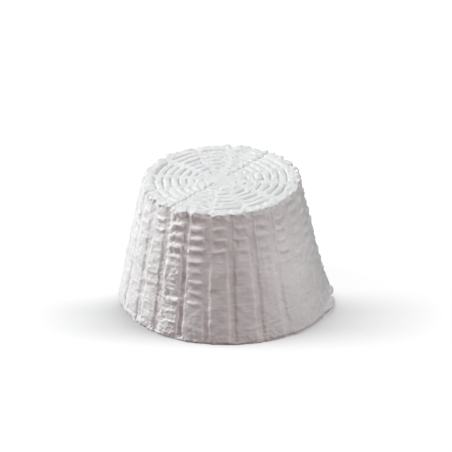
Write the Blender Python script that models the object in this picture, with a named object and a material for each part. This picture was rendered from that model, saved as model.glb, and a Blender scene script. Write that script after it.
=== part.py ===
"""A ricotta turned out of its draining basket, standing on its wide end.

The basket has left its pattern in the soft cheese. Its upright bars pressed grooves down the side, the
curd swelled out between its hoops in rows of low bars, and the spokes and hoops of its floor marked the top.
The grooves close up at the foot. The cone leans a little and stands on a level foot, which has spread outward
low on its front right.

One closed solid, in metres, +Z up, with the origin on the table at the middle of the footprint.
"""

import math
import random

import bmesh
import bpy
from mathutils import Matrix, Vector

# The cone, measured at the bottom of the notches between the swollen rows
FOOT_RADIUS = 0.0563
RIM_RADIUS = 0.0414
HEIGHT = 0.0688
LEAN = math.radians(1.0)

# The side: upright bars and hoops of the basket
BAR_COUNT = 24
BAR_START = math.radians(20.5)
BAR_WIDTH = 0.0034
BAR_FLOOR_WIDTH = 0.0018
BAR_DEPTH = 0.0005
ROW_COUNT = 12
ROW_RELIEF = 0.0009
HOOP_WIDTH = 0.0020
FOOT_SWELL_HEIGHT = 0.0026
FOOT_ROW_SHARE = 0.65
RIM_ROW_SHARE = 1.25
GROOVE_END_SHARE = 0.2

# The top: spokes, in line with every other bar, and hoops of the basket's floor
SPOKE_DEPTH = 0.0006
HUB_RADIUS = 0.0078
FIRST_RING_RADIUS = 0.0094
RING_PITCH = 0.0043
RING_COUNT = 7
RING_RELIEF = 0.0007
RIM_ROUNDING = 0.0012

# Where the curd has spread outward at the foot
SKIRT_ANGLE = math.radians(-26.0)
SKIRT_SPREAD = math.radians(44.0)
SKIRT_REACH = 0.0038
SKIRT_HEIGHT = 0.022

UNEVENNESS = 0.35
SEED = 11

COLUMNS_PER_BAR = 4
COLUMN_COUNT = BAR_COUNT * COLUMNS_PER_BAR


def clear_scene():
    for item in list(bpy.data.objects):
        bpy.data.objects.remove(item, do_unlink=True)


def column_offset(column):
    """Distance of a column from its bar's middle line, along the side: the bar's floor, then its two lips."""
    return (-BAR_FLOOR_WIDTH / 2, BAR_FLOOR_WIDTH / 2, BAR_WIDTH / 2, -BAR_WIDTH / 2)[column % COLUMNS_PER_BAR]


def in_groove(column):
    return column % COLUMNS_PER_BAR < 2


def bar_of(column):
    """The bar that a column belongs to. The last column of each group is a lip of the next bar."""
    return column // COLUMNS_PER_BAR + (column % COLUMNS_PER_BAR == COLUMNS_PER_BAR - 1)


def column_angle(column, radius):
    """The angle of a column at a radius. Bars keep their width, so the angle widens towards the middle."""
    middle = BAR_START + bar_of(column) * math.tau / BAR_COUNT
    return middle + math.asin(max(-1.0, min(1.0, column_offset(column) / radius)))


def spoke_angle(column, radius):
    """As column_angle on the top, where the columns between two spokes close up towards the hub."""
    if bar_of(column) % 2 == 0:
        return column_angle(column, radius)
    middle = BAR_START + bar_of(column) * math.tau / BAR_COUNT
    return middle + column_offset(column) / RIM_RADIUS * (0.5 + 0.5 * radius / RIM_RADIUS)


def cone_radius(height):
    return FOOT_RADIUS + (RIM_RADIUS - FOOT_RADIUS) * height / HEIGHT


def skirt(angle, height):
    """Extra reach of the side near the foot, most at SKIRT_ANGLE and none above SKIRT_HEIGHT."""
    turn = math.remainder(angle - SKIRT_ANGLE, math.tau)
    fade = max(0.0, 1.0 - height / SKIRT_HEIGHT)
    return SKIRT_REACH * fade ** 2 * math.exp(-((turn / SKIRT_SPREAD) ** 2))


def row_share(row):
    """Rows stand out more towards the rim, because the curd below sank and closed up again."""
    return FOOT_ROW_SHARE + (RIM_ROW_SHARE - FOOT_ROW_SHARE) * row / (ROW_COUNT - 1)


def swelling_table():
    """How far each panel's rows stand out, as a share of ROW_RELIEF, by panel and row."""
    draw = random.Random(SEED)
    return [
        [row_share(row) * (1.0 + UNEVENNESS * draw.uniform(-1.0, 1.0)) for row in range(ROW_COUNT)]
        for _ in range(BAR_COUNT)
    ]


def wall_levels():
    """The rings of the side from the foot up, as (row, height, share of the row's relief)."""
    pitch = HEIGHT / ROW_COUNT
    levels = [(0, 0.0, 0.5), (0, FOOT_SWELL_HEIGHT, 1.0), (0, pitch - HOOP_WIDTH / 2, 1.0)]
    for row in range(1, ROW_COUNT):
        bottom = row * pitch
        levels.append((row, bottom, 0.0))
        levels.append((row, bottom + HOOP_WIDTH / 2, 1.0))
        if row < ROW_COUNT - 1:
            levels.append((row, bottom + pitch - HOOP_WIDTH / 2, 1.0))
    levels.append((ROW_COUNT - 1, HEIGHT - RIM_ROUNDING, 1.0))
    return levels


def wall_point(column, level, swelling):
    """A corner of the side, before the cone is leaned."""
    row, height, share = level
    radius = cone_radius(height)
    angle = column_angle(column, radius)
    radius += skirt(angle, height)
    if in_groove(column):
        radius -= BAR_DEPTH * (GROOVE_END_SHARE if height == 0.0 else 1.0)
    else:
        radius += share * ROW_RELIEF * swelling[column // COLUMNS_PER_BAR][row]
    return Vector((radius * math.cos(angle), radius * math.sin(angle), height))


def top_levels():
    """The rings of the top from the rim in, as (radius, share of the relief that is missing there)."""
    levels = [(RIM_RADIUS - RIM_ROUNDING / 2, 0.0)]
    for ring in reversed(range(RING_COUNT)):
        notch = FIRST_RING_RADIUS + ring * RING_PITCH
        levels.append((notch, 1.0))
        levels.append(((notch + max(notch - RING_PITCH, HUB_RADIUS)) / 2, 0.0))
    levels.append((HUB_RADIUS, 1.0))
    return levels


def top_point(column, level):
    """A corner of the top, before the cone is leaned. The spokes are grooves that run on from every other bar."""
    radius, missing = level
    angle = spoke_angle(column, radius)
    at_spoke = bar_of(column) % 2 == 0
    height = HEIGHT - missing * RING_RELIEF
    if at_spoke and in_groove(column):
        height = HEIGHT - RING_RELIEF - SPOKE_DEPTH
    if radius <= HUB_RADIUS:
        height = HEIGHT - RING_RELIEF - SPOKE_DEPTH
    return Vector((radius * math.cos(angle), radius * math.sin(angle), height))


def add_ring(mesh, points, below):
    """Adds one ring of corners and joins it to the ring below with a band of faces."""
    ring = [mesh.verts.new(point) for point in points]
    if below:
        for column in range(len(ring)):
            after = (column + 1) % len(ring)
            mesh.faces.new((below[column], below[after], ring[after], ring[column]))
    return ring


def lean_and_level(mesh, foot):
    """Leans the cone towards -X, as the mould stood, and sets its foot level on the table."""
    bmesh.ops.rotate(mesh, cent=Vector(), matrix=Matrix.Rotation(-LEAN, 3, "Y"), verts=mesh.verts)
    for corner in foot:
        corner.co.z = 0.0


def centre_on_footprint(mesh):
    """Moves the solid so that the middle of its outline, seen from above, is at the origin."""
    for axis in (0, 1):
        places = [corner.co[axis] for corner in mesh.verts]
        shift = (min(places) + max(places)) / 2
        for corner in mesh.verts:
            corner.co[axis] -= shift


def cheese_material():
    material = bpy.data.materials.new("fresh_ricotta")
    material.use_nodes = True
    shader = material.node_tree.nodes["Principled BSDF"]
    shader.inputs["Base Color"].default_value = (0.90, 0.90, 0.885, 1.0)
    shader.inputs["Roughness"].default_value = 0.6
    shader.inputs["Metallic"].default_value = 0.0
    return material


def make_ricotta():
    mesh = bmesh.new()
    swelling = swelling_table()
    columns = range(COLUMN_COUNT)
    ring = None
    foot = None
    for level in wall_levels():
        ring = add_ring(mesh, [wall_point(column, level, swelling) for column in columns], ring)
        foot = foot or ring
    for level in top_levels():
        ring = add_ring(mesh, [top_point(column, level) for column in columns], ring)
    mesh.faces.new(ring)
    mesh.faces.new(list(reversed(foot)))
    lean_and_level(mesh, foot)
    centre_on_footprint(mesh)
    bmesh.ops.triangulate(mesh, faces=mesh.faces)

    data = bpy.data.meshes.new("ricotta")
    mesh.to_mesh(data)
    mesh.free()
    data.materials.append(cheese_material())
    ricotta = bpy.data.objects.new("ricotta", data)
    bpy.context.scene.collection.objects.link(ricotta)
    return ricotta


def main():
    clear_scene()
    make_ricotta()


main()
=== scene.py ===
"""A ricotta turned out of its draining basket, on a pale table in soft studio light.

The cheese is built as the basket shaped it: a plain cone of curd, a stave of curd between every two
upright bars, swollen slots between the hoops, and ribbed wedges between the spokes of the basket's floor.
All of it is joined under one skin, then roughened as curd is, leaned a little and cut level at the foot.
"""
import math
import random

import bmesh
import bpy
from mathutils import Matrix, Vector


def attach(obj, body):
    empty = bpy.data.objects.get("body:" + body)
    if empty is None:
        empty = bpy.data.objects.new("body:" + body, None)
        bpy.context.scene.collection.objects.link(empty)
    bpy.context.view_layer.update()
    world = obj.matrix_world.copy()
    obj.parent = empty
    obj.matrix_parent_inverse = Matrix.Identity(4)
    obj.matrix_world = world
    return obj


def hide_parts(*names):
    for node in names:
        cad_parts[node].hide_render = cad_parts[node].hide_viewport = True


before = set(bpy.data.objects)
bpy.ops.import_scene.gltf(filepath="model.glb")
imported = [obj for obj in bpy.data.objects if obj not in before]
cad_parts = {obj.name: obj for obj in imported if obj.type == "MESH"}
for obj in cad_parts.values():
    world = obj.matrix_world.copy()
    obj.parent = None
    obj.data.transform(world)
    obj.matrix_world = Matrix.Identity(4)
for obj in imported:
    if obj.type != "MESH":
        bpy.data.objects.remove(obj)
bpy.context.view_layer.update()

MM = 0.001
SEED = 5

# In names, a turn is in degrees about the cone's axis, from +X towards +Y, and an angle is in radians.

# The cone, measured on the crests of the print. UNDER is what is cut off again below the table.
AXIS = Vector((-1.45 * MM, 0.24 * MM, 0.0))
HEIGHT = 68.8 * MM
FOOT_RADIUS = 57.2 * MM
RIM_RADIUS = 42.3 * MM
SLOPE = math.atan2(FOOT_RADIUS - RIM_RADIUS, HEIGHT)
LEAN = math.radians(1.0)
UNDER = 3.0 * MM
ROUND_CORNERS = 240
WALL_FROM = 0.9 * RIM_RADIUS
TOP_INSET = 3.0 * MM

# The upright bars of the basket and the staves of curd between them
BAR_COUNT = 24
BAR_STEP = math.tau / BAR_COUNT
BAR_START = math.radians(20.5)
BAR_WIDTH = 3.2 * MM
BAR_DEPTH = 1.8 * MM
STAVE_DEPTH = 1.15 * MM
STAVE_EDGE = 0.5 * MM
STAVE_FLANK = 1.1 * MM
STAVE_TOP = HEIGHT - 1.6 * MM

# A smooth strip beside each groove, where the hoops marked the curd no deeper than a share of STAVE_DEPTH
STRIP_WIDTH = 0.9 * MM
STRIP_SHARE = 0.4

# The stave at the front left where the curd tore: a wider strip, and slots that end sooner
TORN_STAVE_TURN = -122
TORN_STRIP_WIDTH = 2.6 * MM
TORN_END = 0.62

# How much curd filled the upright grooves again, and the one groove that stayed deep
GROOVE_FILL = 0.85 * MM
GROOVE_FILL_LEFT = 1.0 * MM
GROOVE_FILL_FOOT = 1.05 * MM
LEFT_BELOW_TURN = -137.0
LEFT_ABOVE_TURN = 100.0
FOOT_FILL_TURN = -105.0
DEEP_GROOVE_TURN = -113.0
DEEP_GROOVE_SPREAD = 9.0
DEEP_GROOVE_SHARE = 0.9

# The hoops of the basket and the slots that swelled between them
ROW_COUNT = 12
ROW_PITCH = HEIGHT / ROW_COUNT
HOOP_WIDTH = 1.5 * MM
SLOT_THICKNESS = 2.8 * MM
SLOT_SHELF = 1.5 * MM
SLOT_UNDERCUT = 1.1 * MM

# How deep each of the 11 hoops between the rows marked the curd, from the foot up, as a share of
# STAVE_DEPTH, by the turn of the middle of the stave. Below 0 the mark is filled past the crests. The
# staves that aren't listed have the values under None.
PRINT = {
    163: (0.2, 0.25, 0.2, 0.2, 0.2, 0.2, 0.2, 0.2, 0.2, 0.25, 0.25),
    178: (0.2, 0.25, 0.2, 0.2, 0.2, 0.2, 0.2, 0.2, 0.2, 0.25, 0.25),
    -167: (0.1, 0.1, 0.15, 0.2, 0.15, 0.15, 0.2, 0.2, 0.3, 0.35, 0.35),
    -152: (0.1, 0.1, 0.15, 0.2, 0.15, 0.15, 0.15, 0.25, 0.35, 0.45, 0.4),
    -137: (0.1, 0.15, 0.25, 0.35, 0.1, 0.1, 0.15, 0.25, 0.5, 0.75, 0.65),
    -122: (0.2, 0.3, 0.6, 1.0, 0.2, 0.15, 0.15, 1.4, 1.6, 1.6, 1.5),
    -107: (-0.1, -0.1, 0.05, 0.8, 0.8, 0.7, 0.4, 1.0, 1.4, 1.5, 1.5),
    -92: (-0.2, -0.2, -0.2, -0.2, -0.2, -0.2, -0.05, 0.45, 0.75, 0.9, 1.4),
    -77: (-0.2, -0.2, -0.2, -0.2, -0.2, -0.2, -0.1, 0.5, 1.0, 1.1, 0.8),
    -62: (-0.2, -0.2, -0.2, -0.15, -0.1, 0.0, 0.3, 0.9, 1.1, 1.1, 0.8),
    -47: (-0.15, -0.15, -0.1, -0.1, 0.0, 0.25, 0.6, 0.9, 1.0, 1.0, 0.8),
    -32: (0.0, 0.05, 0.1, 0.2, 0.35, 0.5, 0.8, 0.9, 1.1, 1.1, 0.9),
    -17: (0.05, 0.1, 0.15, 0.25, 0.4, 0.55, 0.8, 0.9, 1.1, 1.1, 0.9),
    -2: (0.2, 0.3, 0.5, 0.8, 1.0, 1.2, 1.3, 1.3, 1.3, 1.3, 1.2),
    13: (0.2, 0.3, 0.5, 0.8, 1.0, 1.2, 1.3, 1.4, 1.4, 1.4, 1.2),
    None: (0.05, 0.1, 0.2, 0.3, 0.45, 0.6, 0.7, 0.75, 0.8, 0.8, 0.7),
}

# The floor of the basket: spokes and rings
SPOKE_COUNT = 12
SPOKE_STEP = math.tau / SPOKE_COUNT
SPOKE_WIDTH = 4.0 * MM
SUNK_SPOKES = (1, 7)
SPOKE_DEPTH = 0.35 * MM
SPOKE_THICKNESS = 4.0 * MM
SPOKE_SINK = 0.9 * MM
SUNK_GAP = 1.0 * MM
HUB_RADIUS = 5.6 * MM
RING_DEPTH = 1.35 * MM
FIRST_RING = 9.4 * MM
RING_PITCH = 4.28 * MM
RING_COUNT = 7
RING_NOTCH = 0.85 * MM
RIDGE_THICKNESS = 2.4 * MM
RIDGE_ROUNDING = 0.6 * MM

# The blocks of the rim
RIM_BLOCK_INNER = RIM_RADIUS - 6.2 * MM
RIM_BLOCK_OUTER = RIM_RADIUS - 0.2 * MM

# Where the curd has spread outward at the foot
SKIRT_ANGLE = math.radians(-33.0)
SKIRT_SPREAD = math.radians(38.0)
SKIRT_REACH = 3.8 * MM
SKIRT_HEIGHT = 22.0 * MM

# The settled curd at the foot, how it rounds under, and the two lips low on the right, each with its turn and
# half its spread in degrees, its lower and upper edge and its reach
FOOT_BAND_HEIGHT = 2.4 * MM
TUCK = 1.0 * MM
TUCK_HEIGHT = 2.2 * MM
LIPS = (
    (-4.0, 4.0, 1.9 * MM, 3.7 * MM, 1.6 * MM),
    (-17.0, 8.0, -0.5 * MM, 2.2 * MM, 2.4 * MM),
)

# The size of the cells of the skin, and the triangles that it may keep
SKIN = 0.36 * MM
MOST_TRIANGLES = 194000

# The side where the curd is smoothest
CALM_ANGLE = math.radians(-65.0)


def wall_radius(height):
    return FOOT_RADIUS + (RIM_RADIUS - FOOT_RADIUS) * height / HEIGHT


def on_top(radius, height):
    return radius < wall_radius(height) - TOP_INSET


def hump(value, middle, spread):
    return math.exp(-(((value - middle) / spread) ** 2))


def place_of(corner):
    """A corner's distance from the cone's axis, and its angle about it."""
    return math.hypot(corner.co.x, corner.co.y), math.atan2(corner.co.y, corner.co.x)


def put_at(corner, radius, angle):
    corner.co.x = radius * math.cos(angle)
    corner.co.y = radius * math.sin(angle)


def scale_out(corner, share):
    """Moves a corner level, straight away from the cone's axis or towards it."""
    corner.co.x *= share
    corner.co.y *= share


def set_down():
    """Leaves every piece unselected and in object mode."""
    if bpy.context.object and bpy.context.object.mode != "OBJECT":
        bpy.ops.object.mode_set(mode="OBJECT")
    bpy.ops.object.select_all(action="DESELECT")


def pick_up(*pieces):
    set_down()
    for piece in pieces:
        piece.select_set(True)
    bpy.context.view_layer.objects.active = pieces[0]


def settle(piece):
    """Applies a piece's place, turn and scale to its mesh."""
    pick_up(piece)
    bpy.ops.object.transform_apply(location=True, rotation=True, scale=True)


def start_edit(piece, kind="VERT"):
    pick_up(piece)
    bpy.ops.object.mode_set(mode="EDIT")
    bpy.ops.mesh.select_mode(type=kind)
    bpy.ops.mesh.select_all(action="DESELECT")


def end_edit():
    bpy.ops.object.mode_set(mode="OBJECT")


def choose_all():
    bpy.ops.mesh.select_all(action="SELECT")


def choose_corners(piece, wanted):
    bpy.ops.mesh.select_all(action="DESELECT")
    mesh = bmesh.from_edit_mesh(piece.data)
    for corner in mesh.verts:
        corner.select_set(wanted(corner.co))
    mesh.select_flush_mode()
    bmesh.update_edit_mesh(piece.data)


def choose_edges(piece, wanted):
    """Selects the edges whose two ends pass the test."""
    bpy.ops.mesh.select_all(action="DESELECT")
    mesh = bmesh.from_edit_mesh(piece.data)
    for edge in mesh.edges:
        edge.select_set(all(wanted(corner.co) for corner in edge.verts))
    mesh.select_flush_mode()
    bmesh.update_edit_mesh(piece.data)


def finish_with(piece, kind, **values):
    """Adds a modifier with its values and applies it."""
    pick_up(piece)
    modifier = piece.modifiers.new(kind.lower(), kind)
    for name, value in values.items():
        setattr(modifier, name, value)
    bpy.ops.object.modifier_apply(modifier=modifier.name)


def turned_copy(piece, angle):
    """A copy of a piece with its own mesh, turned about the cone's axis."""
    copy = piece.copy()
    copy.data = piece.data.copy()
    bpy.context.scene.collection.objects.link(copy)
    copy.data.transform(Matrix.Rotation(angle, 4, "Z"))
    return copy


def throw_away(*pieces):
    for piece in pieces:
        bpy.data.objects.remove(piece, do_unlink=True)


def add_frustum(name, low, high, inset):
    """A truncated cone between two heights, as far inside the crests of the wall as inset says."""
    set_down()
    bpy.ops.mesh.primitive_cone_add(
        vertices=ROUND_CORNERS,
        radius1=wall_radius(low) - inset,
        radius2=wall_radius(high) - inset,
        depth=high - low,
        location=(0.0, 0.0, (low + high) / 2),
    )
    piece = bpy.context.object
    piece.name = name
    settle(piece)
    return piece


def cut_to_wedge(piece, half_angle, half_gap):
    """Keeps the part of a round piece about +X that lies between two upright planes.

    Each plane stands half_gap off the middle of the bar at half_angle, so the gap between two
    neighbouring wedges keeps its width all the way in.
    """
    start_edit(piece)
    for side in (-1, 1):
        choose_all()
        away = Vector((-math.sin(half_angle), side * math.cos(half_angle), 0.0))
        bpy.ops.mesh.bisect(plane_co=-away * half_gap, plane_no=away, use_fill=True, clear_outer=True)
    end_edit()


def add_bar(
    name, inner, outer, low, high, half_angle, tilt=0.0, round_outer=0.0, round_inner=0.0, undercut=0.0,
):
    """A bar of curd bent round the cone's axis, centred on +X.

    Its section stands between two radii and two heights. The upper corners can be rounded and the lower
    outer corner pulled in, then the section is tilted to lie along the wall and spun into a bar.
    """
    set_down()
    bpy.ops.mesh.primitive_plane_add(size=1.0, rotation=(math.pi / 2, 0.0, 0.0))
    bar = bpy.context.object
    bar.name = name
    bar.scale = (outer - inner, high - low, 1.0)
    settle(bar)

    start_edit(bar)
    for rounding, side in ((round_outer, 1), (round_inner, -1)):
        if rounding:
            choose_corners(bar, lambda co: co.x * side > 0 and co.z > (high - low) * 0.45)
            bpy.ops.mesh.bevel(affect="VERTICES", offset=rounding, segments=3)
    if undercut:
        choose_corners(bar, lambda co: co.x > 0 and co.z < (low - high) * 0.45)
        bpy.ops.transform.translate(value=(-undercut, 0.0, 0.0))
    end_edit()

    bar.rotation_euler = (0.0, -tilt, 0.0)
    bar.location = ((inner + outer) / 2, 0.0, (low + high) / 2)
    settle(bar)
    bar.data.transform(Matrix.Rotation(half_angle, 4, "Z"))
    start_edit(bar)
    choose_all()
    bpy.ops.mesh.spin(steps=10, angle=2 * half_angle, center=(0.0, 0.0, 0.0), axis=(0.0, 0.0, 1.0))
    choose_all()
    bpy.ops.mesh.normals_make_consistent(inside=False)
    end_edit()
    return bar


def make_heart():
    """The plain cone that shows at the bottom of the upright grooves and of the spokes."""
    heart = add_frustum("heart", -UNDER, HEIGHT - RING_DEPTH, BAR_DEPTH)
    start_edit(heart, "EDGE")
    choose_edges(heart, lambda co: co.z > HEIGHT - RING_DEPTH - 0.1 * MM)
    bpy.ops.mesh.bevel(offset=0.9 * MM, segments=3)
    end_edit()
    for corner in heart.data.vertices:
        radius, angle = place_of(corner)
        turn = math.degrees(angle)
        at_left = turn < LEFT_BELOW_TURN or turn > LEFT_ABOVE_TURN
        fill = GROOVE_FILL_LEFT if at_left else GROOVE_FILL
        if corner.co.z < 0 and FOOT_FILL_TURN < turn < LEFT_ABOVE_TURN:
            fill = GROOVE_FILL_FOOT
        fill *= 1.0 - DEEP_GROOVE_SHARE * hump(turn, DEEP_GROOVE_TURN, DEEP_GROOVE_SPREAD)
        if corner.co.z < HEIGHT - RING_DEPTH - 0.7 * MM:
            scale_out(corner, 1.0 + fill / radius)
    return heart


def make_foot_band():
    """The lowest curd, which has settled and filled the ends of the upright grooves."""
    band = add_frustum("foot_band", -UNDER, FOOT_BAND_HEIGHT, 0.5 * MM)
    start_edit(band, "EDGE")
    choose_edges(band, lambda co: co.z > FOOT_BAND_HEIGHT - 0.1 * MM)
    bpy.ops.mesh.bevel(offset=1.3 * MM, segments=3)
    end_edit()
    return band


def make_lips():
    """Two thin folds of curd that squeezed out low on the right."""
    lips = []
    for turn, half, low, high, reach in LIPS:
        lip = add_bar(
            "lip", FOOT_RADIUS - 3.0 * MM, FOOT_RADIUS - 0.6 * MM + reach, low, high,
            math.radians(half), round_outer=0.9 * MM, undercut=0.4 * MM,
        )
        for corner in lip.data.vertices:
            radius, angle = place_of(corner)
            share = angle / math.radians(half)
            scale_out(corner, 1.0 - 1.6 * MM * share ** 4 / radius)
        lip.data.transform(Matrix.Rotation(math.radians(turn), 4, "Z"))
        lips.append(lip)
    return lips


def panel_angle(panel):
    return BAR_START + (panel + 0.5) * BAR_STEP


def panel_name(panel):
    """The angle of a panel's middle in whole degrees, by which PRINT lists it."""
    return round(math.degrees(math.remainder(panel_angle(panel), math.tau)))


def notch_depths(panel, draw):
    """How deep the hoops marked one stave, from the foot to the rim, as shares of STAVE_DEPTH."""
    depths = PRINT.get(panel_name(panel), PRINT[None])
    return [0.3] + [depth * draw.uniform(0.85, 1.15) for depth in depths] + [0.3]


def make_staves(draw):
    """The curd between two upright bars, up to the level of the notches between the slots."""
    stave = add_frustum("stave", -UNDER, STAVE_TOP, STAVE_DEPTH)
    cut_to_wedge(stave, BAR_STEP / 2, BAR_WIDTH / 2)
    start_edit(stave, "EDGE")
    side = Vector((-math.sin(BAR_STEP / 2), math.cos(BAR_STEP / 2), 0.0))
    for hand, rounding in ((1, STAVE_EDGE), (-1, STAVE_FLANK)):

        def on_edge(co):
            gap = side.x * co.x + side.y * abs(co.y) + BAR_WIDTH / 2
            return abs(gap) < 0.02 * MM and hand * co.y > 0 and math.hypot(co.x, co.y) > WALL_FROM

        choose_edges(stave, on_edge)
        bpy.ops.mesh.bevel(offset=rounding, segments=4)
    for hoop in range(ROW_COUNT):
        choose_all()
        bpy.ops.mesh.bisect(plane_co=(0.0, 0.0, hoop * ROW_PITCH), plane_no=(0.0, 0.0, 1.0))
    end_edit()

    staves = []
    for panel in range(BAR_COUNT):
        copy = turned_copy(stave, 0.0)
        depths = notch_depths(panel, draw)
        strip = TORN_STRIP_WIDTH if panel_name(panel) == TORN_STAVE_TURN else STRIP_WIDTH
        for corner in copy.data.vertices:
            radius, angle = place_of(corner)
            if radius < WALL_FROM:
                continue
            depth = depths[min(ROW_COUNT, max(0, round(corner.co.z / ROW_PITCH)))]
            from_edge = radius * (angle + BAR_STEP / 2) - BAR_WIDTH / 2
            if from_edge < strip:
                depth = min(depth, STRIP_SHARE)
            scale_out(corner, 1.0 + STAVE_DEPTH * (1.0 - depth) / radius)
        copy.data.transform(Matrix.Rotation(panel_angle(panel), 4, "Z"))
        staves.append(copy)
    throw_away(stave)
    return staves


def slot_swelling(panel, row, draw):
    """How far one slot swelled, as a share of the usual. The upper slots at the front left swelled most."""
    swelling = draw.uniform(0.85, 1.15)
    if -130 < panel_name(panel) < -100 and row >= 7:
        swelling *= 1.2
    return swelling


def make_slots(draw):
    """The rows of slots that swelled out between the hoops, each with its own swelling, sag and ends."""
    slots = []
    for row in range(ROW_COUNT - 1):
        low = row * ROW_PITCH + HOOP_WIDTH / 2
        high = (row + 1) * ROW_PITCH - HOOP_WIDTH / 2
        middle = wall_radius((low + high) / 2) - SLOT_THICKNESS / 2 * math.cos(SLOPE)
        half = BAR_STEP / 2 - math.asin((BAR_WIDTH / 2 + 0.3 * MM) / wall_radius(low))
        slot = add_bar(
            "slot", middle - SLOT_THICKNESS / 2, middle + SLOT_THICKNESS / 2, low, high, half,
            tilt=SLOPE, round_outer=SLOT_SHELF, undercut=SLOT_UNDERCUT,
        )
        for panel in range(BAR_COUNT):
            copy = turned_copy(slot, 0.0)
            swelling = slot_swelling(panel, row, draw)
            lift = draw.uniform(-0.18, 0.18) * MM
            tilt = draw.uniform(-0.25, 0.25) * MM
            sag = draw.uniform(0.0, 0.3) * MM
            ends = (draw.uniform(0.72, 0.85), draw.uniform(0.9, 1.03))
            if panel_name(panel) == TORN_STAVE_TURN:
                ends = (TORN_END, ends[1])
            for corner in copy.data.vertices:
                radius, angle = place_of(corner)
                share = angle / half
                floor = wall_radius(corner.co.z) - STAVE_DEPTH
                if radius > floor:
                    ends_in = (0.75 if share < 0 else 0.35) * share ** 4
                    radius = floor + (radius - floor) * swelling * (1.0 - ends_in)
                put_at(corner, radius, angle * ends[share > 0])
                corner.co.z += lift + tilt * share - sag * (1.0 - share * share)
            copy.data.transform(Matrix.Rotation(panel_angle(panel), 4, "Z"))
            slots.append(copy)
        throw_away(slot)
    return slots


def make_rim(draw):
    """The blocks of the rim, one to a stave, each a little higher or lower and farther in or out."""
    half = BAR_STEP / 2 - math.asin(BAR_WIDTH / 2 / RIM_RADIUS)
    low = (ROW_COUNT - 1) * ROW_PITCH + HOOP_WIDTH / 2
    block = add_bar(
        "rim_block", RIM_BLOCK_INNER, RIM_BLOCK_OUTER, low, HEIGHT, half,
        round_outer=0.5 * MM, round_inner=0.7 * MM, undercut=0.9 * MM,
    )
    blocks = []
    for panel in range(BAR_COUNT):
        copy = turned_copy(block, panel_angle(panel))
        lift = draw.uniform(-0.25, 0.2) * MM
        reach = 1.0 + draw.uniform(-0.5, 0.4) * MM / RIM_RADIUS
        for corner in copy.data.vertices:
            scale_out(corner, reach)
            corner.co.z += lift
        blocks.append(copy)
    throw_away(block)
    return blocks


def make_spokes():
    """The pale ribs that the spokes left on the top, and the hub they meet in. Two of them sank lower."""
    middle = HEIGHT - SPOKE_DEPTH - SPOKE_THICKNESS / 2
    set_down()
    bpy.ops.mesh.primitive_cylinder_add(
        vertices=48, radius=HUB_RADIUS, depth=SPOKE_THICKNESS, location=(0.0, 0.0, middle),
    )
    hub = bpy.context.object
    settle(hub)
    set_down()
    length = RIM_RADIUS - 1.6 * MM
    bpy.ops.mesh.primitive_cube_add(size=1.0, location=(length / 2, 0.0, middle))
    spoke = bpy.context.object
    spoke.scale = (length, SPOKE_WIDTH, SPOKE_THICKNESS)
    settle(spoke)
    start_edit(spoke, "EDGE")
    choose_edges(spoke, lambda co: co.z > HEIGHT - 1.0 * MM)
    bpy.ops.mesh.bevel(offset=0.4 * MM, segments=3)
    end_edit()
    spokes = []
    for number in range(SPOKE_COUNT):
        copy = turned_copy(spoke, BAR_START + number * SPOKE_STEP)
        if number in SUNK_SPOKES:
            for corner in copy.data.vertices:
                corner.co.z -= SPOKE_SINK
        spokes.append(copy)
    throw_away(spoke)
    return [hub, *spokes]


def make_ridges(draw):
    """The ridges that swelled up between the rings of the basket's floor, from spoke to spoke.

    Where a spoke sank, the ridges closed in over it and left only a narrow gap.
    """
    ridges = []
    for ring in range(-1, RING_COUNT):
        inner = FIRST_RING + ring * RING_PITCH + RING_NOTCH / 2
        outer = RIM_RADIUS - 1.0 * MM if ring == RING_COUNT - 1 else inner + RING_PITCH - RING_NOTCH
        middle = (inner + outer) / 2
        half = SPOKE_STEP / 2 - math.asin((SPOKE_WIDTH / 2 - 0.15 * MM) / middle)
        closed = SPOKE_STEP / 2 - math.asin(SUNK_GAP / 2 / middle)
        ridge = add_bar(
            "ridge", inner, outer, HEIGHT - RIDGE_THICKNESS, HEIGHT, half,
            round_outer=RIDGE_ROUNDING, round_inner=RIDGE_ROUNDING,
        )
        ridges.append((ridge, closed / half))
    pieces = []
    for spoke in range(SPOKE_COUNT):
        for ridge, wider in ridges:
            copy = turned_copy(ridge, 0.0)
            lift = draw.uniform(-0.35, 0.1) * MM
            for corner in copy.data.vertices:
                corner.co.z += lift
                beside = spoke + 1 if corner.co.y > 0 else spoke
                if beside in SUNK_SPOKES:
                    radius, angle = place_of(corner)
                    put_at(corner, radius, angle * wider)
            copy.data.transform(Matrix.Rotation(BAR_START + (spoke + 0.5) * SPOKE_STEP, 4, "Z"))
            pieces.append(copy)
    throw_away(*[ridge for ridge, _ in ridges])
    return pieces


def add_texture(name, kind, size, **values):
    texture = bpy.data.textures.new(name, kind)
    texture.noise_scale = size
    for key, value in values.items():
        setattr(texture, key, value)
    return texture


def mark_places(piece, name, weight):
    """Gives a piece a vertex group whose weight, from 0 to 1 in tenths, depends on the place."""
    group = piece.vertex_groups.new(name=name)
    shares = {}
    for corner in piece.data.vertices:
        radius, angle = place_of(corner)
        level = round(10 * min(1.0, max(0.0, weight(math.degrees(angle), radius, corner.co.z))))
        shares.setdefault(level, []).append(corner.index)
    for level, corners in shares.items():
        group.add(corners, level / 10, "REPLACE")
    return name


def soft_places(turn, radius, height):
    """Where the print is blurred: mostly the lower half at the front and right."""
    if on_top(radius, height):
        return 0.1
    below = 1.0 / (1.0 + math.exp((height - 36.0 * MM) / (3.0 * MM)))
    front = min(1.0, hump(turn, -55.0, 30.0) * 1.6) * (0.02 + 0.98 * below)
    left = 0.15 * (turn < -130.0 or turn > 60.0)
    return max(front, left, 0.06)


def swayed_places(turn, radius, height):
    """Where the print is out of true: more on the side than on the top."""
    return 0.3 if on_top(radius, height) else 1.0


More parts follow.
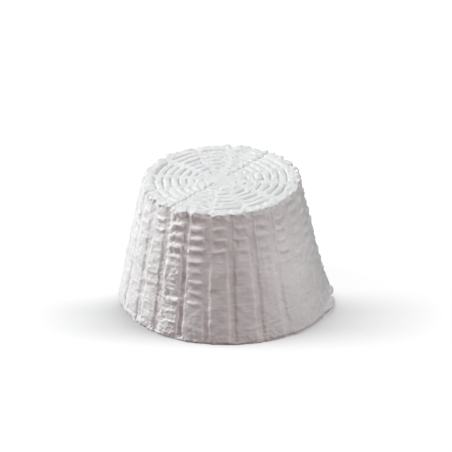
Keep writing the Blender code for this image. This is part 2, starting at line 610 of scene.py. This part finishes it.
def rough_places(turn, radius, height):
    """Where the curd is most broken: the front left, the right, the rim and the foot."""
    rim = hump(radius, RIM_RADIUS, 3.0 * MM) * hump(height, HEIGHT, 3.0 * MM)
    if on_top(radius, height):
        return max(0.6 if radius > 2 * HUB_RADIUS else 0.3, rim)
    left = 0.8 * hump(turn, -124.0, 14.0)
    foot = 0.7 * hump(height, 0.0, 9.0 * MM)
    quiet = 0.4 * hump(turn, -78.0, 25.0) * hump(height, 30.0 * MM, 22.0 * MM)
    right = 0.6 * hump(turn, 0.0, 45.0)
    return max(0.4 - quiet, rim, left, foot, right)


def ragged_places(turn, radius, height):
    """The edge of the rim."""
    return hump(radius, RIM_RADIUS, 2.5 * MM) * hump(height, HEIGHT, 2.5 * MM)


def streaked_places(turn, radius, height):
    """Mostly the lower part at the front and right, where only fine streaks are left of the slots."""
    return 0.35 + 0.65 * min(1.0, 1.3 * hump(turn, -45.0, 45.0)) * (height < 42.0 * MM)


def broken_places(turn, radius, height):
    """The crumbled patch low on the front left."""
    on_wall = radius > FOOT_RADIUS - 6.0 * MM
    return hump(turn, -138.0, 13.0) * hump(height, 4.0 * MM, 5.0 * MM) * on_wall


def blur_print(cheese):
    """Bends the straight edges of the print a little and blurs them where the curd closed up again."""
    sway = add_texture("sway", "CLOUDS", 5.0 * MM, noise_depth=1, cloud_type="COLOR")
    finish_with(
        cheese, "DISPLACE", texture=sway, texture_coords="LOCAL", direction="RGB_TO_XYZ",
        strength=1.0 * MM, mid_level=0.5, vertex_group=mark_places(cheese, "swayed", swayed_places),
    )
    soft = mark_places(cheese, "soft", soft_places)
    finish_with(cheese, "SMOOTH", factor=0.5, iterations=22, vertex_group=soft)


def roughen(cheese):
    """The uneven skin of drained curd: wide lumps, round curds, fine crumbs, rags, breaks and streaks."""
    rough = mark_places(cheese, "rough", rough_places)
    broken = mark_places(cheese, "broken", broken_places)
    lumps = add_texture("lumps", "CLOUDS", 8.0 * MM, noise_depth=1)
    finish_with(cheese, "DISPLACE", texture=lumps, texture_coords="LOCAL", strength=0.7 * MM, mid_level=0.5)
    curds = add_texture("curds", "VORONOI", 2.6 * MM)
    finish_with(
        cheese, "DISPLACE", texture=curds, texture_coords="LOCAL", strength=-0.7 * MM, mid_level=0.45,
        vertex_group=rough,
    )
    crumbs = add_texture("crumbs", "CLOUDS", 1.3 * MM, noise_depth=1)
    finish_with(
        cheese, "DISPLACE", texture=crumbs, texture_coords="LOCAL", strength=0.8 * MM, mid_level=0.5,
        vertex_group=rough,
    )
    rags = add_texture("rags", "CLOUDS", 3.2 * MM, noise_depth=1, cloud_type="COLOR")
    finish_with(
        cheese, "DISPLACE", texture=rags, texture_coords="LOCAL", direction="RGB_TO_XYZ",
        strength=2.1 * MM, mid_level=0.5, vertex_group=mark_places(cheese, "ragged", ragged_places),
    )
    breaks = add_texture("breaks", "CLOUDS", 3.0 * MM, noise_depth=2, noise_type="HARD_NOISE")
    finish_with(
        cheese, "DISPLACE", texture=breaks, texture_coords="LOCAL", strength=1.2 * MM, mid_level=0.45,
        vertex_group=broken,
    )
    set_down()
    bpy.ops.object.empty_add()
    stretch = bpy.context.object
    stretch.scale = (1.0, 1.0, 0.16)
    bpy.context.view_layer.update()
    streaks = add_texture("streaks", "CLOUDS", 6.0 * MM, noise_depth=1)
    finish_with(
        cheese, "DISPLACE", texture=streaks, texture_coords="OBJECT", texture_coords_object=stretch,
        strength=0.5 * MM, mid_level=0.5, vertex_group=mark_places(cheese, "streaked", streaked_places),
    )
    throw_away(stretch)


def foot_tuck(height):
    """How far the foot is drawn in at a height."""
    if height > -0.4 * MM:
        return TUCK * max(0.0, 1.0 - height / TUCK_HEIGHT) ** 2
    return TUCK


def spread_foot(cheese):
    """Moves the low front right outward, where the curd spread on the table, and rounds the foot under."""
    for corner in cheese.data.vertices:
        if corner.co.z < SKIRT_HEIGHT:
            radius, angle = place_of(corner)
            aside = math.remainder(angle - SKIRT_ANGLE, math.tau)
            fade = min(1.0, 1.0 - corner.co.z / SKIRT_HEIGHT) ** 2
            reach = SKIRT_REACH * fade * hump(aside, 0.0, SKIRT_SPREAD) - foot_tuck(corner.co.z)
            if radius > FOOT_RADIUS * 0.6:
                scale_out(corner, 1.0 + reach / radius)


def count_triangles(piece):
    return sum(len(face.vertices) - 2 for face in piece.data.polygons)


def make_cheese():
    draw = random.Random(SEED)
    pieces = [make_heart(), make_foot_band(), *make_lips()]
    pieces += [*make_staves(draw), *make_slots(draw), *make_rim(draw)]
    pieces += [*make_spokes(), *make_ridges(draw)]
    pick_up(*pieces)
    bpy.ops.object.join()
    cheese = bpy.context.object
    cheese.name = "turned_out_cheese"
    finish_with(cheese, "REMESH", mode="VOXEL", voxel_size=SKIN, use_smooth_shade=True)
    finish_with(cheese, "SMOOTH", factor=0.5, iterations=2)
    blur_print(cheese)
    roughen(cheese)
    spread_foot(cheese)

    # The cone leans towards -X and is cut level where it meets the table
    cheese.rotation_euler = (0.0, -LEAN, 0.0)
    cheese.location = AXIS
    settle(cheese)
    start_edit(cheese)
    choose_all()
    bpy.ops.mesh.bisect(plane_co=(0.0, 0.0, 0.0), plane_no=(0.0, 0.0, 1.0), use_fill=True, clear_inner=True)
    end_edit()
    finish_with(cheese, "DECIMATE", ratio=min(1.0, MOST_TRIANGLES / count_triangles(cheese)))
    for corner in cheese.data.vertices:
        corner.co.z = max(0.0, corner.co.z)
    pick_up(cheese)
    bpy.ops.object.shade_smooth()
    return cheese


def add_node(tree, kind, place, **values):
    node = tree.nodes.new(kind)
    node.location = place
    for name, value in values.items():
        setattr(node, name, value)
    return node


def fresh_curd():
    """White, moist, finely grained curd, a little translucent. The grain is fainter on its calm side."""
    material = bpy.data.materials.new("fresh_curd")
    material.use_nodes = True
    tree = material.node_tree
    shader = tree.nodes["Principled BSDF"]
    place = add_node(tree, "ShaderNodeTexCoord", (-1100, 0))

    patches = add_node(tree, "ShaderNodeTexNoise", (-800, 200))
    patches.inputs["Scale"].default_value = 90.0
    patches.inputs["Detail"].default_value = 4.0
    tone = add_node(tree, "ShaderNodeValToRGB", (-500, 200))
    tone.color_ramp.elements[0].position = 0.3
    tone.color_ramp.elements[0].color = (0.86, 0.858, 0.85, 1.0)
    tone.color_ramp.elements[1].position = 0.7
    tone.color_ramp.elements[1].color = (0.90, 0.90, 0.895, 1.0)
    tree.links.new(place.outputs["Object"], patches.inputs["Vector"])
    tree.links.new(patches.outputs["Fac"], tone.inputs["Fac"])
    tree.links.new(tone.outputs["Color"], shader.inputs["Base Color"])

    grain = add_node(tree, "ShaderNodeTexNoise", (-800, -250))
    grain.inputs["Scale"].default_value = 850.0
    grain.inputs["Detail"].default_value = 4.0
    grain.inputs["Roughness"].default_value = 0.65
    facing = add_node(tree, "ShaderNodeVectorMath", (-800, -500), operation="DOT_PRODUCT")
    facing.inputs[1].default_value = (math.cos(CALM_ANGLE), math.sin(CALM_ANGLE), 0.0)
    calm = add_node(tree, "ShaderNodeMapRange", (-600, -500), interpolation_type="SMOOTHSTEP")
    calm.inputs["From Min"].default_value = 20.0 * MM
    calm.inputs["From Max"].default_value = 50.0 * MM
    calm.inputs["To Min"].default_value = 1.0
    calm.inputs["To Max"].default_value = 0.45
    height = add_node(tree, "ShaderNodeMath", (-400, -350), operation="MULTIPLY")
    bump = add_node(tree, "ShaderNodeBump", (-200, -250))
    bump.inputs["Strength"].default_value = 0.75
    bump.inputs["Distance"].default_value = 0.6 * MM
    tree.links.new(place.outputs["Object"], grain.inputs["Vector"])
    tree.links.new(place.outputs["Object"], facing.inputs[0])
    tree.links.new(facing.outputs["Value"], calm.inputs["Value"])
    tree.links.new(grain.outputs["Fac"], height.inputs[0])
    tree.links.new(calm.outputs["Result"], height.inputs[1])
    tree.links.new(height.outputs["Value"], bump.inputs["Height"])
    tree.links.new(bump.outputs["Normal"], shader.inputs["Normal"])

    shader.inputs["Roughness"].default_value = 0.6
    shader.inputs["Specular IOR Level"].default_value = 0.35
    shader.inputs["Subsurface Weight"].default_value = 0.35
    shader.inputs["Subsurface Radius"].default_value = (1.0, 0.9, 0.8)
    shader.inputs["Subsurface Scale"].default_value = 1.2 * MM
    return material


def pale_table_painted_shadow():
    """Seen as white, while it throws back only as much light as a grey table would.

    Its glow is dimmed by a painted shadow where the cheese stands over it, most in a band beside the cheese.
    """
    material = bpy.data.materials.new("pale_table_painted_shadow")
    material.use_nodes = True
    tree = material.node_tree
    tree.nodes.clear()
    out = add_node(tree, "ShaderNodeOutputMaterial", (400, 0))
    seen = add_node(tree, "ShaderNodeLightPath", (-400, 200))
    mix = add_node(tree, "ShaderNodeMixShader", (200, 0))
    dull = add_node(tree, "ShaderNodeBsdfDiffuse", (-100, 100))
    dull.inputs["Color"].default_value = (0.14, 0.125, 0.127, 1.0)
    add = add_node(tree, "ShaderNodeAddShader", (0, -100))
    white = add_node(tree, "ShaderNodeBsdfDiffuse", (-300, -50))
    white.inputs["Color"].default_value = (0.15, 0.15, 0.15, 1.0)
    glow_less_painted_shadow = add_node(tree, "ShaderNodeEmission", (-300, -200))
    # Painted shadow: the glow is dimmed by how much of the sky the cheese hides nearby
    painted_shadow_ao = add_node(tree, "ShaderNodeAmbientOcclusion", (-1100, -200))
    painted_shadow_ao.inputs["Distance"].default_value = 78.0 * MM
    hidden = add_node(tree, "ShaderNodeMath", (-900, -200), operation="SUBTRACT")
    hidden.inputs[0].default_value = 1.0
    place = add_node(tree, "ShaderNodeTexCoord", (-1500, -400))
    apart = add_node(tree, "ShaderNodeSeparateXYZ", (-1300, -400))
    off = add_node(tree, "ShaderNodeMath", (-1100, -400), operation="ADD")
    off.inputs[1].default_value = 30.0 * MM
    depth = add_node(tree, "ShaderNodeMath", (-900, -400), operation="ABSOLUTE")
    # The painted shadow is strongest in a band across the table, within a few mm of y = -30 mm
    band = add_node(tree, "ShaderNodeMapRange", (-700, -400), interpolation_type="SMOOTHSTEP")
    band.inputs["From Min"].default_value = 6.0 * MM
    band.inputs["From Max"].default_value = 36.0 * MM
    band.inputs["To Min"].default_value = 1.5
    band.inputs["To Max"].default_value = 0.12
    shade = add_node(tree, "ShaderNodeMath", (-700, -200), operation="MULTIPLY")
    painted_shadow_cap = add_node(tree, "ShaderNodeMath", (-600, -300), operation="MINIMUM")
    painted_shadow_cap.inputs[1].default_value = 0.5
    # The glow that is left once the painted shadow is taken out, never less than 0.43
    left = add_node(tree, "ShaderNodeMath", (-500, -200), operation="SUBTRACT")
    left.inputs[0].default_value = 0.93
    tree.links.new(painted_shadow_ao.outputs["AO"], hidden.inputs[1])
    tree.links.new(place.outputs["Object"], apart.inputs["Vector"])
    tree.links.new(apart.outputs["Y"], off.inputs[0])
    tree.links.new(off.outputs["Value"], depth.inputs[0])
    tree.links.new(depth.outputs["Value"], band.inputs["Value"])
    tree.links.new(hidden.outputs["Value"], shade.inputs[0])
    tree.links.new(band.outputs["Result"], shade.inputs[1])
    tree.links.new(shade.outputs["Value"], painted_shadow_cap.inputs[0])
    tree.links.new(painted_shadow_cap.outputs["Value"], left.inputs[1])
    tree.links.new(left.outputs["Value"], glow_less_painted_shadow.inputs["Strength"])
    tree.links.new(seen.outputs["Is Camera Ray"], mix.inputs["Fac"])
    tree.links.new(dull.outputs["BSDF"], mix.inputs[1])
    tree.links.new(white.outputs["BSDF"], add.inputs[0])
    tree.links.new(glow_less_painted_shadow.outputs["Emission"], add.inputs[1])
    tree.links.new(add.outputs["Shader"], mix.inputs[2])
    tree.links.new(mix.outputs["Shader"], out.inputs["Surface"])
    return material


def make_table():
    set_down()
    bpy.ops.mesh.primitive_plane_add(size=6.0)
    table = bpy.context.object
    table.name = "table_top"
    table.data.materials.append(pale_table_painted_shadow())


def add_lamp(name, azimuth, elevation, distance, size, power, colour=(1.0, 1.0, 1.0), kind="AREA"):
    """A lamp aimed at the middle of the cheese. Azimuth is a turn, and elevation is in degrees too."""
    data = bpy.data.lights.new(name, kind)
    if kind == "AREA":
        data.size = size
    else:
        data.shadow_soft_size = size
    data.energy = power
    data.color = colour
    lamp = bpy.data.objects.new(name, data)
    bpy.context.scene.collection.objects.link(lamp)
    turn, rise = math.radians(azimuth), math.radians(elevation)
    off = Vector((math.cos(turn) * math.cos(rise), math.sin(turn) * math.cos(rise), math.sin(rise)))
    target = Vector((0.0, 0.0, HEIGHT / 2))
    lamp.location = target + off * distance
    lamp.rotation_mode = "QUATERNION"
    lamp.rotation_quaternion = (-off).to_track_quat("-Z", "Y")
    return lamp


def light_studio():
    """The lamps, each with azimuth, elevation, distance, size and power, and a tint if it isn't white."""
    add_lamp("key_left", 164.0, 38.0, 0.9, 0.35, 5.6, (0.95, 0.99, 1.0))
    add_lamp("side_left", 178.0, 12.0, 0.9, 0.6, 4.3)
    add_lamp("behind", 80.0, 35.0, 0.9, 0.5, 2.1, (0.95, 0.97, 1.0))
    add_lamp("over_front", -60.0, 60.0, 0.9, 0.4, 0.9)
    add_lamp("front_right", -50.0, 33.0, 0.9, 0.4, 2.15)
    add_lamp("fill_right", -5.0, 20.0, 1.0, 1.0, 1.9)
    add_lamp("low_front", -93.0, 2.0, 1.0, 0.5, 0.95, (1.0, 0.26, 0.32))
    pool = add_lamp("spot_right", -42.0, 0.0, 0.5, 0.01, 0.75, kind="SPOT")
    pool.data.spot_size = math.radians(7.4)
    pool.data.spot_blend = 1.0
    world = bpy.data.worlds.new("studio")
    world.use_nodes = True
    world.node_tree.nodes["Background"].inputs["Color"].default_value = (1.0, 1.0, 1.0, 1.0)
    world.node_tree.nodes["Background"].inputs["Strength"].default_value = 0.005
    bpy.context.scene.world = world


def add_camera():
    """The photograph's view: almost 28 degrees down, from about 1.2 m."""
    rise = math.radians(27.95)
    distance = 1.2
    middle = AXIS + Vector((0.0, 0.0, 35.0 * MM))
    off = Vector((0.0, -math.cos(rise), math.sin(rise)))
    up = Vector((0.0, math.sin(rise), math.cos(rise)))
    data = bpy.data.cameras.new("camera")
    data.lens = 178.5
    data.sensor_width = 36.0
    camera = bpy.data.objects.new("camera", data)
    bpy.context.scene.collection.objects.link(camera)
    camera.location = middle + off * distance
    aim = middle + Vector((1.5 * MM, 0.0, 0.0)) + up * 4.83 * MM
    camera.rotation_mode = "QUATERNION"
    camera.rotation_quaternion = (aim - camera.location).to_track_quat("-Z", "Y")
    bpy.context.scene.camera = camera


add_camera()
cheese = make_cheese()
cheese.data.materials.clear()
cheese.data.materials.append(fresh_curd())
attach(cheese, "root")
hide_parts("ricotta")
make_table()
light_studio()
bpy.context.scene.view_settings.view_transform = "Standard"
